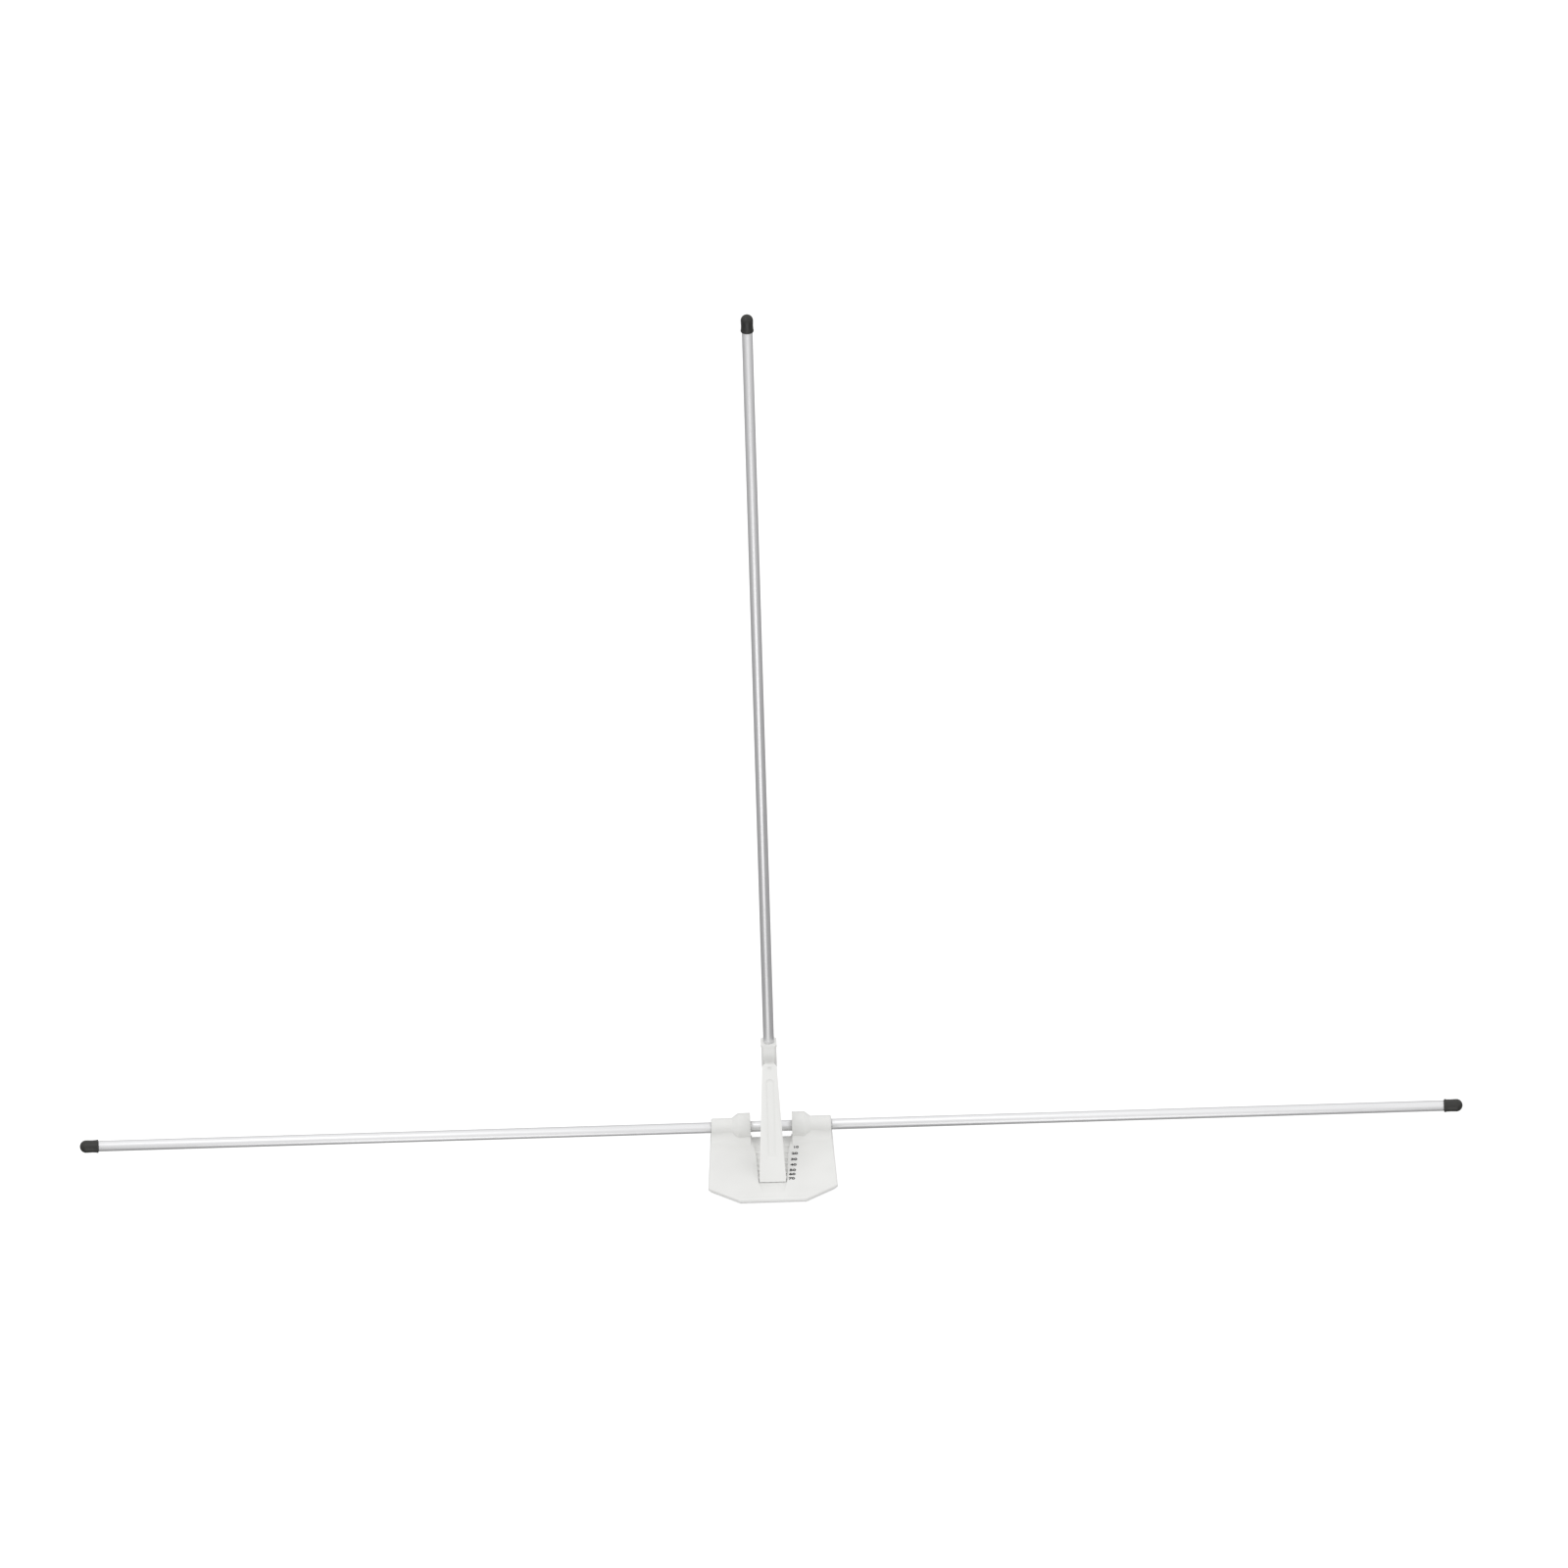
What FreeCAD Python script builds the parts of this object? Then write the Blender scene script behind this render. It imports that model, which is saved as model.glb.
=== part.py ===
"""Three-rod stand: a low plastic base, two level side rods, and an upright rod on an arm that a brace props.

Every sub-part is built in the hub frame and then moved to its place in the part's own frame.
The hub frame has its origin at the middle of the hinge axle, with +X to the right, +Y to the back and +Z up.
The part's own frame has its origin on the ground, under the middle of the base plate's depth.
All sizes are in millimetres.
"""

import FreeCAD, Part
import os
import re
import Sketcher

SIZES = {
    # rods and their end caps
    "rod_dia": 7.0,
    "rod_wall": 1.0,
    "side_rod_length": 425.5,
    "upright_rod_length": 578.5,
    "cap_wall": 0.6,
    "cap_straight": 8.0,
    "cap_end_wall": 3.0,
    # base plate
    "plate_thickness": 3.4,
    "plate_front": 84.0,
    "plate_back": 14.0,
    "plate_back_width": 78.0,
    "plate_front_width": 84.0,
    "nose_width": 44.0,
    "nose_depth": 16.5,
    "corner_round": 3.0,
    "rim_round": 1.0,
    "undercut": 1.4,
    "axle_over_plate": 6.0,
    # foot pads
    "pad_dia": 10.0,
    "pad_thickness": 1.2,
    "pad_proud": 0.6,
    "pad_inset_side": 10.0,
    "pad_inset_back": 7.0,
    "pad_front_reach": 64.0,
    # rod housings, and the ears that carry the axle
    "housing_wall": 2.5,
    "housing_chamfer": 0.8,
    "ear_step": 3.0,
    "ear_width": 8.0,
    "ear_flank": 4.0,
    "hub_gap": 27.0,
    "gap_front": 1.0,
    "blend_inner": 11.0,
    "blend_outer": 5.0,
    # channel with the steps for the brace's foot
    "channel_back_width": 26.0,
    "channel_bend_width": 20.8,
    "channel_bend_reach": 28.0,
    "channel_width": 18.4,
    "channel_depth": 1.4,
    "channel_reach": 63.0,
    "ramp_reach": 75.0,
    "ramp_end_width": 13.4,
    "step_dia": 4.2,
    "step_depth": 2.6,
    # fits
    "fit_clearance": 0.05,
    "seat_clearance": 0.02,
    "swing_clearance": 0.3,
    # axle and its cross pin
    "axle_length": 40.0,
    "rod_end_gap": 0.6,
    "cross_pin_dia": 2.0,
    # grip rings inside the rod sockets
    "ring_section": 0.8,
    "ring_inset": 6.0,
    "ring_groove_width": 1.2,
    # arm
    "barrel_wall": 2.0,
    "arm_column_width": 8.8,
    "arm_column_depth": 9.2,
    "socket_wall": 1.4,
    "socket_round": 1.6,
    "socket_foot": 40.0,
    "socket_top": 63.5,
    "socket_rim": 0.3,
    "socket_rim_height": 1.8,
    "socket_depth": 38.2,
    "tongue_width": 6.0,
    "tongue_dia": 5.6,
    "tongue_rise": 14.0,
    # brace
    "pin_ahead": 10.0,
    "pin_rise": 47.7,
    "pin_dia": 3.0,
    "brace_top_wall": 1.6,
    "brace_foot_width": 17.2,
    "brace_foot_front": 3.2,
    "brace_top_back": 3.5,
    "brace_foot_back": 1.2,
    "brace_web": 1.5,
    "brace_wall": 1.8,
    "brace_hollow_end": 12.0,
    "groove_width": 5.0,
    "groove_depth": 0.5,
    "groove_start": 7.0,
    "groove_end": 14.0,
    "dimple_dia": 2.4,
    "dimple_depth": 0.7,
    "lug_dia": 3.0,
    "lug_rest": 0.4,
    "foot_trim": 0.2,
    # scale numerals
    "mark_inner": 15.3,
    "mark_slant": 3.0,
    "mark_lead": 2.0,
    "digit_height": 3.0,
    "digit_width": 1.75,
    "digit_gap": 0.55,
    "stroke": 0.6,
    "ink_thickness": 0.15,
}

# How far each step lies in front of the axle. The last one holds the brace when the arm stands upright.
STEP_REACH = (15.9, 24.0, 31.6, 38.6, 45.5, 50.7, 56.3)
SIZES.update({f"step_reach_{number}": reach for number, reach in enumerate(STEP_REACH, 1)})
LAST_STEP = f"step_reach_{len(STEP_REACH)}"

# Sizes of pieces that go round another piece. They keep their wall when the inner piece changes.
FOLLOWING = {
    "cap_dia": "rod_dia + 2 * cap_wall",
    "housing_dia": "rod_dia + 2 * housing_wall",
    "ear_dia": "housing_dia + 2 * ear_step",
    "arm_barrel_dia": "rod_dia + 2 * barrel_wall",
    "socket_width": "rod_dia + 2 * socket_wall",
    "brace_top_width": "tongue_width + 2 * swing_clearance + 2 * brace_top_wall",
}

# Places and sizes that follow from the ones above.
AXLE_RISE = "(pad_proud + plate_thickness + axle_over_plate)"
AXLE_BACK = "((plate_front - plate_back) / 2)"
PLATE_TOP = "(0 - axle_over_plate)"
PLATE_BOTTOM = "(0 - axle_over_plate - plate_thickness)"
IN_PLATE = f"({PLATE_TOP} - rim_round)"
BORE_RADIUS = "(rod_dia / 2 + fit_clearance)"
ROD_START = "(axle_length / 2 + rod_end_gap)"
LUG_DROP = "(axle_over_plate + step_depth - lug_rest - lug_dia / 2)"
BRACE_RUN = f"({LAST_STEP} - pin_ahead)"
BRACE_FALL = f"(pin_rise + {LUG_DROP})"
BRACE_SPAN = f"sqrt({BRACE_RUN} ^ 2 + {BRACE_FALL} ^ 2)"
BRACE_TILT = f"(-1 * atan({BRACE_RUN} / {BRACE_FALL}))"
BRACE_TOP_FRONT = "(pin_ahead - socket_width / 2 - swing_clearance)"
BRACE_INNER_TOP = "(tongue_width / 2 + swing_clearance)"
HALF_LUG = "(channel_width / 2 - swing_clearance)"
ROD_FOOT = "(socket_top - socket_depth)"

MARGIN = "5"  # how far a cutting tool passes the face that it cuts
HALF_THROUGH = "brace_foot_width"  # how far from the middle a tool goes that passes right through the brace
THROUGH = "(2 * brace_foot_width)"
TOUCH = 0.01  # faces and edges this near to a plane lie on it
MOSTLY = 0.9  # the share of an edge's direction that points up on an upright edge
ALONG_X = FreeCAD.Rotation(FreeCAD.Vector(0, 1, 0), 90)
ALONG_Y = FreeCAD.Rotation(FreeCAD.Vector(1, 0, 0), 90)
UPRIGHT = FreeCAD.Rotation()
SIDES = (("left", -1), ("right", 1))

# Strokes of a numeral: top, upper left, upper right, middle, lower left, lower right, bottom.
NUMERAL_STROKES = {
    "0": (1, 1, 1, 0, 1, 1, 1),
    "1": (0, 0, 1, 0, 0, 1, 0),
    "2": (1, 0, 1, 1, 1, 0, 1),
    "3": (1, 0, 1, 1, 0, 1, 1),
    "4": (0, 1, 1, 1, 0, 1, 0),
    "5": (1, 1, 0, 1, 0, 1, 1),
    "6": (1, 1, 0, 1, 1, 1, 1),
    "7": (1, 0, 1, 0, 0, 1, 0),
}

doc = FreeCAD.newDocument("RodStand")
sheet = doc.addObject("Spreadsheet::Sheet", "Dims")
for row, (alias, value) in enumerate((SIZES | FOLLOWING).items(), 1):
    sheet.set(f"A{row}", alias)
    sheet.set(f"B{row}", f"={value}")
    sheet.setAlias(f"B{row}", alias)
doc.recompute()

subparts = []


def cells(formula):
    """The formula with every size's name turned into its spreadsheet cell."""
    named = SIZES | FOLLOWING
    return re.sub(r"[a-z_]\w*", lambda word: f"Dims.{word[0]}" if word[0] in named else word[0], formula)


def bind(piece, path, formula):
    """Ties one property of a piece to the sheet."""
    piece.setExpression(path, cells(formula))


def place(piece, x="0", y="0", z="0"):
    """Ties a piece's position to the sheet."""
    for letter, formula in (("x", x), ("y", y), ("z", z)):
        bind(piece, f"Placement.Base.{letter}", formula)
    return piece


def primitive(kind, name, sizes, at=("0", "0", "0"), turn=UPRIGHT):
    """A Part primitive with its sizes and place tied to the sheet."""
    piece = doc.addObject(f"Part::{kind}", name)
    piece.Placement = FreeCAD.Placement(FreeCAD.Vector(), turn)
    for size, formula in sizes.items():
        bind(piece, size, formula)
    return place(piece, *at)


def box(name, width, depth, height, at):
    """A box centred on the X axis. Its place is that of its front lower edge's middle."""
    x, y, z = at
    sizes = {"Length": width, "Width": depth, "Height": height}
    return primitive("Box", name, sizes, (f"{x} - ({width}) / 2", y, z))


def bar(name, radius, start, length, y="0", z="0"):
    """A cylinder along X from start."""
    return primitive("Cylinder", name, {"Radius": radius, "Height": length}, (start, y, z), ALONG_X)


def centred_bar(name, radius, half_length, y="0", z="0"):
    """A cylinder along X that goes equally far to both sides of the middle."""
    return bar(name, radius, f"0 - ({half_length})", f"2 * ({half_length})", y, z)


def taper(name, first, last, start, length, y="0", z="0"):
    """A cone along X, whose radius goes from first to last."""
    sizes = {"Radius1": first, "Radius2": last, "Height": length}
    return primitive("Cone", name, sizes, (start, y, z), ALONG_X)


def post(name, radius, length, at=("0", "0", "0")):
    """A cylinder along Z."""
    return primitive("Cylinder", name, {"Radius": radius, "Height": length}, at)


def fuse(name, *pieces):
    """One solid made of several."""
    joined = doc.addObject("Part::MultiFuse", name)
    joined.Shapes = list(pieces)
    return joined


def common(name, first, second):
    """What two solids share."""
    shared = doc.addObject("Part::Common", name)
    shared.Base = first
    shared.Tool = second
    return shared


def cut(name, base, *tools):
    """The base with every tool taken away."""
    tool = tools[0] if len(tools) == 1 else fuse(f"{name}_tools", *tools)
    left = doc.addObject("Part::Cut", name)
    left.Base = base
    left.Tool = tool
    return left


def prism(name, plane, outline, length, midplane=False):
    """A body padded from a closed outline. Each corner is a pair of formulas in the sketch's own two axes."""
    body = doc.addObject("PartDesign::Body", name)
    sketch = body.newObject("Sketcher::SketchObject", f"{name}_outline")
    origin_plane = [item for item in body.Origin.OriginFeatures if item.Role == plane][0]
    sketch.AttachmentSupport = [(origin_plane, "")]
    sketch.MapMode = "FlatFace"
    corners = [tuple(measure(text) for text in corner) for corner in outline]
    for number, (across, along) in enumerate(corners):
        next_across, next_along = corners[(number + 1) % len(corners)]
        start = FreeCAD.Vector(across, along, 0)
        end = FreeCAD.Vector(next_across, next_along, 0)
        sketch.addGeometry(Part.LineSegment(start, end))
    for number, (across, along) in enumerate(outline):
        sketch.addConstraint(Sketcher.Constraint("Coincident", number, 2, (number + 1) % len(outline), 1))
    for number, corner in enumerate(outline):
        for direction, formula in zip("XY", corner):
            limit = Sketcher.Constraint(f"Distance{direction}", -1, 1, number, 1, measure(formula))
            index = sketch.addConstraint(limit)
            sketch.renameConstraint(index, f"corner_{number}_{direction.lower()}")
            bind(sketch, f"Constraints.corner_{number}_{direction.lower()}", formula)
    pad = body.newObject("PartDesign::Pad", f"{name}_pad")
    pad.Profile = sketch
    bind(pad, "Length", length)
    pad.Midplane = midplane
    body.Tip = pad
    return body


def dress_edges(body, kind, name, size, chosen):
    """Rounds (Fillet) or bevels (Chamfer) those edges of a body that the test picks."""
    doc.recompute()
    base = body.Tip
    edges = [f"Edge{number}" for number, edge in enumerate(base.Shape.Edges, 1) if chosen(edge)]
    dressing = body.newObject(f"PartDesign::{kind}", name)
    dressing.Base = (base, edges)
    bind(dressing, {"Fillet": "Radius", "Chamfer": "Size"}[kind], size)
    body.Tip = dressing
    return body


def upright_edge(edge):
    """Whether an edge runs straight up."""
    return abs(edge.tangentAt(edge.FirstParameter).z) > MOSTLY


def measure(formula):
    """The number that a formula of sizes gives now."""
    return float(sheet.evalExpression(cells(formula)))


def hub_part(piece, label, at=("0", "0", "0")):
    """Names a finished sub-part and moves it from its place in the hub frame to the part's own frame."""
    across, along, height = at
    piece.Label = label
    place(piece, across, f"{AXLE_BACK} + {along}", f"{AXLE_RISE} + {height}")
    subparts.append(piece)
    return piece


# --- base plate ---


def plate_slab():
    """The flat plate: wide at the front, with cut corners, a rounded upper rim and an undercut lower one."""
    back = "plate_back"
    shoulder = "0 - plate_front + nose_depth"
    front = "0 - plate_front"
    right_side = [
        ("nose_width / 2", front),
        ("plate_front_width / 2", shoulder),
        ("plate_back_width / 2", back),
    ]
    left_side = [(f"0 - {across}", along) for across, along in reversed(right_side)]
    slab = prism("plate_slab", "XY_Plane", right_side + left_side, "plate_thickness")
    dress_edges(slab, "Fillet", "plate_corners", "corner_round", upright_edge)
    top = measure("plate_thickness")
    dress_edges(slab, "Fillet", "plate_rim", "rim_round", lambda edge: edge.BoundBox.ZMin > top - TOUCH)
    dress_edges(slab, "Chamfer", "plate_underside", "undercut", lambda edge: edge.BoundBox.ZMax < TOUCH)
    return place(slab, "0", "0", PLATE_BOTTOM)


def blend_reach(radius):
    """How far in front of the axle a hollow of this radius stands to touch both the tube and the plate."""
    return f"sqrt((housing_dia / 2 + axle_over_plate) * (2 * {radius} + housing_dia / 2 - axle_over_plate))"


def housing_blend(side, inner, outer):
    """The concave sweep from a tube to the plate, wide beside the hub gap and narrow at the outer end."""
    outline = [
        (inner, "0"),
        (inner, f"0 - {blend_reach('blend_inner')}"),
        (outer, f"0 - {blend_reach('blend_outer')}"),
        (outer, "0"),
    ]
    block = prism(f"{side}_blend_block", "XY_Plane", outline, "axle_over_plate + rim_round")
    place(block, "0", "0", IN_PLATE)
    ends = []
    for end, across in (("inner", inner), ("outer", outer)):
        radius = f"blend_{end}"
        centre = (across, f"0 - {blend_reach(radius)}", f"{PLATE_TOP} + {radius}")
        ends.append(primitive("Circle", f"{side}_hollow_{end}", {"Radius": radius}, centre, ALONG_X))
    hollow = doc.addObject("Part::Loft", f"{side}_blend_hollow")
    hollow.Sections = ends
    hollow.Solid = True
    hollow.Ruled = True
    return cut(f"{side}_blend", block, hollow)


def housing(side, sign):
    """The raised tube for a side rod, the ear beside the hub gap, and the blend down to the plate."""
    gap_side = "hub_gap / 2"
    ear_end = "(hub_gap / 2 + ear_width)"
    outer = "plate_back_width / 2"

    def across(start, length):
        """Where a bar starts on this side, when it starts so far from the middle."""
        return start if sign > 0 else f"0 - ({start}) - ({length})"

    tube_length = f"{outer} - {gap_side} - housing_chamfer"
    tube = bar(f"{side}_tube", "housing_dia / 2", across(gap_side, tube_length), tube_length)
    radii = ["housing_dia / 2", "housing_dia / 2 - housing_chamfer"]
    chamfer_start = across(f"{outer} - housing_chamfer", "housing_chamfer")
    chamfer = taper(f"{side}_tube_end", *radii[::sign], chamfer_start, "housing_chamfer")
    foot_width = f"({outer} - {gap_side} - housing_chamfer)"
    foot_at = (f"({across(gap_side, foot_width)}) + {foot_width} / 2", "0 - housing_dia / 2", IN_PLATE)
    foot = box(f"{side}_tube_foot", foot_width, "housing_dia", "axle_over_plate + rim_round", foot_at)
    ear = bar(f"{side}_ear", "ear_dia / 2", across(gap_side, "ear_width"), "ear_width")
    flank_radii = ["ear_dia / 2", "housing_dia / 2"]
    flank = taper(f"{side}_ear_flank", *flank_radii[::sign], across(ear_end, "ear_flank"), "ear_flank")
    blend = housing_blend(side, f"{sign} * {gap_side}", f"{sign} * {outer}")
    return [tube, chamfer, foot, ear, flank, blend]


def channel():
    """The shallow channel for the brace's foot, with a ramp at its front end and the row of round steps.

    It is about as wide as the hub gap at the back, and it narrows to the front.
    """
    floor = f"{PLATE_TOP} - channel_depth"
    above = f"{PLATE_TOP} + {MARGIN}"
    side_view = [
        ("0", floor),
        ("0 - channel_reach", floor),
        ("0 - ramp_reach", PLATE_TOP),
        ("0 - ramp_reach", above),
        ("0", above),
    ]
    spaces = [prism("channel_profile", "YZ_Plane", side_view, "hub_gap", midplane=True)]
    for number in range(1, len(STEP_REACH) + 1):
        height = f"{PLATE_TOP} - step_depth + step_dia / 2"
        step_at = (f"0 - step_reach_{number}", height)
        spaces.append(centred_bar(f"step_{number}", "step_dia / 2", "hub_gap / 2", *step_at))
    right_side = [
        ("channel_back_width / 2", "0"),
        ("channel_bend_width / 2", "0 - channel_bend_reach"),
        ("channel_width / 2", "0 - channel_reach"),
        ("ramp_end_width / 2", "0 - ramp_reach"),
    ]
    left_side = [(f"0 - {across}", along) for across, along in reversed(right_side)]
    plan = prism("channel_plan", "XY_Plane", right_side + left_side, "ear_dia * 2", midplane=True)
    return common("channel_space", fuse("channel_side_view", *spaces), plan)


def pad_places():
    """The names and places of the four foot pads."""
    side = "plate_back_width / 2 - pad_inset_side"
    back = "plate_back - pad_inset_back"
    front = "0 - pad_front_reach"
    places = {}
    for word, along in (("back", back), ("front", front)):
        places[f"{word}_left_foot_pad"] = (f"0 - ({side})", along)
        places[f"{word}_right_foot_pad"] = (side, along)
    return places


def base_plate():
    """The whole base, one plastic moulding."""
    solids = [plate_slab()]
    for side, sign in SIDES:
        solids += housing(side, sign)
    whole = fuse("base_solid", *solids)
    bore = centred_bar("rod_bore", BORE_RADIUS, f"plate_back_width / 2 + {MARGIN}")
    gap_depth = f"gap_front + plate_back + {MARGIN}"
    gap = box("hub_space", "hub_gap", gap_depth, "ear_dia * 2", ("0", "0 - gap_front", "0 - ear_dia"))
    tools = [bore, gap, channel()]
    for side, sign in SIDES:
        tools.append(ring_groove(f"{side}_ring_groove", sign))
    for name, (across, along) in pad_places().items():
        seat_depth = "(pad_thickness - pad_proud)"
        seat_at = (across, along, f"{PLATE_BOTTOM} - {MARGIN}")
        seat = post(f"{name}_seat", "pad_dia / 2 + fit_clearance", f"{MARGIN} + {seat_depth}", seat_at)
        tools.append(seat)
    return hub_part(cut("base_plate_cut", whole, *tools), "base_plate")


def foot_pads():
    """Four rubber pads, glued in shallow seats under the plate."""
    for name, (across, along) in pad_places().items():
        at = (across, along, f"{PLATE_BOTTOM} - pad_proud")
        hub_part(post(f"{name}_disc", "pad_dia / 2", "pad_thickness"), name, at)


# --- grip rings ---

RING_MIDDLE = "(rod_dia / 2 + fit_clearance + ring_section / 2)"
GROOVE_RADIUS = "(rod_dia / 2 + fit_clearance + ring_section + seat_clearance)"


def ring_groove(name, sign):
    """The groove for a grip ring in a side socket."""
    middle = "(plate_back_width / 2 - ring_inset)"
    return bar(name, GROOVE_RADIUS, f"{sign} * {middle} - ring_groove_width / 2", "ring_groove_width")


def grip_ring(label, turn, at):
    """A rubber ring that grips a rod in its socket."""
    sizes = {"Radius1": RING_MIDDLE, "Radius2": "ring_section / 2"}
    hub_part(primitive("Torus", f"{label}_torus", sizes, turn=turn), label, at)


def grip_rings():
    """One ring in each of the three sockets."""
    middle = "(plate_back_width / 2 - ring_inset)"
    grip_ring("left_grip_ring", ALONG_X, (f"0 - {middle}", "0", "0"))
    grip_ring("right_grip_ring", ALONG_X, (middle, "0", "0"))
    grip_ring("upright_grip_ring", UPRIGHT, ("0", "0", "socket_top - ring_inset"))


# --- axle and pins ---


def hinge_axle():
    """The axle: a length of solid rod that turns in both ears and is pinned to the arm."""
    rod = centred_bar("axle_rod", "rod_dia / 2", "axle_length / 2")
    hole = cross_pin_hole("axle_pin_hole", "seat_clearance")
    hub_part(cut("axle_drilled", rod, hole), "hinge_axle")


def cross_pin_hole(name, clearance):
    """A cylinder along Y through the middle of the axle, as long as the arm's barrel is thick."""
    sizes = {"Radius": f"cross_pin_dia / 2 + {clearance}", "Height": f"arm_barrel_dia + 2 * {MARGIN}"}
    return primitive("Cylinder", name, sizes, ("0", f"arm_barrel_dia / 2 + {MARGIN}", "0"), ALONG_Y)


def axle_cross_pin():
    """The pin that stops the arm sliding along the axle."""
    sizes = {"Radius": "cross_pin_dia / 2", "Height": "arm_barrel_dia - 2 * swing_clearance"}
    at = ("0", "arm_barrel_dia / 2 - swing_clearance", "0")
    hub_part(primitive("Cylinder", "cross_pin_rod", sizes, turn=ALONG_Y), "axle_cross_pin", at)


def brace_pin():
    """The pin that joins the brace to the arm's tongue."""
    length = "(brace_top_width - 2 * swing_clearance)"
    pin = bar("brace_pin_rod", "pin_dia / 2", "0", length)
    hub_part(pin, "brace_pin", (f"0 - {length} / 2", "0 - pin_ahead", "pin_rise"))


# --- arm ---


def arm_socket_block():
    """The square upper end of the arm, with rounded corners and a slightly wider rim."""
    corners = []
    for across, along in ((1, 1), (-1, 1), (-1, -1), (1, -1)):
        corners.append((f"{across} * socket_width / 2", f"{along} * socket_width / 2"))
    block = prism("socket_block", "XY_Plane", corners, "socket_top - socket_foot")
    dress_edges(block, "Fillet", "socket_corners", "socket_round", upright_edge)
    place(block, "0", "0", "socket_foot")
    wider = "(1 + 2 * socket_rim / socket_width)"
    rim_corners = [(f"{across} * {wider}", f"{along} * {wider}") for across, along in corners]
    rim = prism("socket_rim_block", "XY_Plane", rim_corners, "socket_rim_height")
    dress_edges(rim, "Fillet", "rim_corners", "socket_round", upright_edge)
    place(rim, "0", "0", "socket_top - socket_rim_height")
    return [block, rim]


def arm_tongue():
    """The tongue on the arm's front that carries the brace pin."""
    nose = "0 - pin_ahead"
    outline = [
        ("0", "pin_rise - tongue_rise"),
        (nose, "pin_rise - tongue_dia / 2"),
        (nose, "pin_rise + tongue_dia / 2"),
        ("0", "pin_rise + tongue_dia / 2"),
    ]
    web = prism("tongue_web", "YZ_Plane", outline, "tongue_width", midplane=True)
    end = centred_bar("tongue_end", "tongue_dia / 2", "tongue_width / 2", nose, "pin_rise")
    return [web, end]


def arm():
    """The arm: a barrel round the axle, a slim column, the upright rod's socket and the brace's tongue."""
    barrel = centred_bar("arm_barrel", "arm_barrel_dia / 2", "socket_width / 2")
    column_at = ("0", "0 - arm_column_depth / 2", "0")
    column = box("arm_column", "arm_column_width", "arm_column_depth", f"socket_foot + {MARGIN}", column_at)
    solid = fuse("arm_solid", barrel, column, *arm_socket_block(), *arm_tongue())
    axle_hole = centred_bar("arm_axle_hole", "rod_dia / 2 + seat_clearance", f"socket_width / 2 + {MARGIN}")
    rod_hole = post("arm_rod_hole", BORE_RADIUS, f"socket_depth + {MARGIN}", ("0", "0", ROD_FOOT))
    groove_at = ("0", "0", "socket_top - ring_inset - ring_groove_width / 2")
    groove = post("arm_ring_groove", GROOVE_RADIUS, "ring_groove_width", groove_at)
    pin_radius = "pin_dia / 2 + seat_clearance"
    pin_hole = centred_bar("tongue_pin_hole", pin_radius, "tongue_width", "0 - pin_ahead", "pin_rise")
    holes = [axle_hole, rod_hole, groove, pin_hole, cross_pin_hole("arm_pin_hole", "seat_clearance")]
    hub_part(cut("arm_drilled", solid, *holes), "arm")


# --- brace ---


def brace_outside(foot):
    """The brace's outer shape: a tapered bar with an arched top, thickest at the pin."""
    past_foot = f"{foot} - 2 * {MARGIN}"
    half_top = "brace_top_width / 2"
    half_foot = "brace_foot_width / 2"
    right_side = [(half_top, "0"), (half_foot, foot), (half_foot, past_foot)]
    left_side = [(f"0 - {across}", height) for across, height in reversed(right_side)]
    face = prism("brace_face", "XZ_Plane", right_side + left_side, THROUGH, midplane=True)
    arch_sizes = {"Radius": half_top, "Height": THROUGH}
    arch = primitive("Cylinder", "brace_arch", arch_sizes, ("0", HALF_THROUGH, "0"), ALONG_Y)
    side_view = [
        (f"0 - {BRACE_TOP_FRONT}", "0"),
        ("0 - brace_foot_front", foot),
        ("0 - brace_foot_front", past_foot),
        ("brace_foot_back", past_foot),
        ("brace_foot_back", foot),
        ("brace_top_back", "0"),
    ]
    side = prism("brace_side", "YZ_Plane", side_view, THROUGH, midplane=True)
    knuckle = centred_bar("brace_knuckle", BRACE_TOP_FRONT, HALF_THROUGH)
    front_view = fuse("brace_front_view", face, arch)
    return common("brace_outside", front_view, fuse("brace_side_view", side, knuckle))


def brace_trough(hollow_foot):
    """The hollow in the brace's back. Its upper end is open and takes the arm's tongue."""
    inner_foot = "(brace_foot_width / 2 - brace_wall)"
    right_side = [(BRACE_INNER_TOP, "brace_top_width"), (BRACE_INNER_TOP, "0"), (inner_foot, hollow_foot)]
    left_side = [(f"0 - {across}", height) for across, height in reversed(right_side)]
    plan = prism("trough_plan", "XZ_Plane", right_side + left_side, THROUGH, midplane=True)
    tongue_room = "0 - tongue_dia / 2 - swing_clearance"
    side_view = [
        (tongue_room, "brace_top_width"),
        (tongue_room, "0"),
        ("brace_web - brace_foot_front", hollow_foot),
        (HALF_THROUGH, hollow_foot),
        (HALF_THROUGH, "brace_top_width"),
    ]
    side = prism("trough_side", "YZ_Plane", side_view, THROUGH, midplane=True)
    return common("brace_trough", plan, side)


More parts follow.
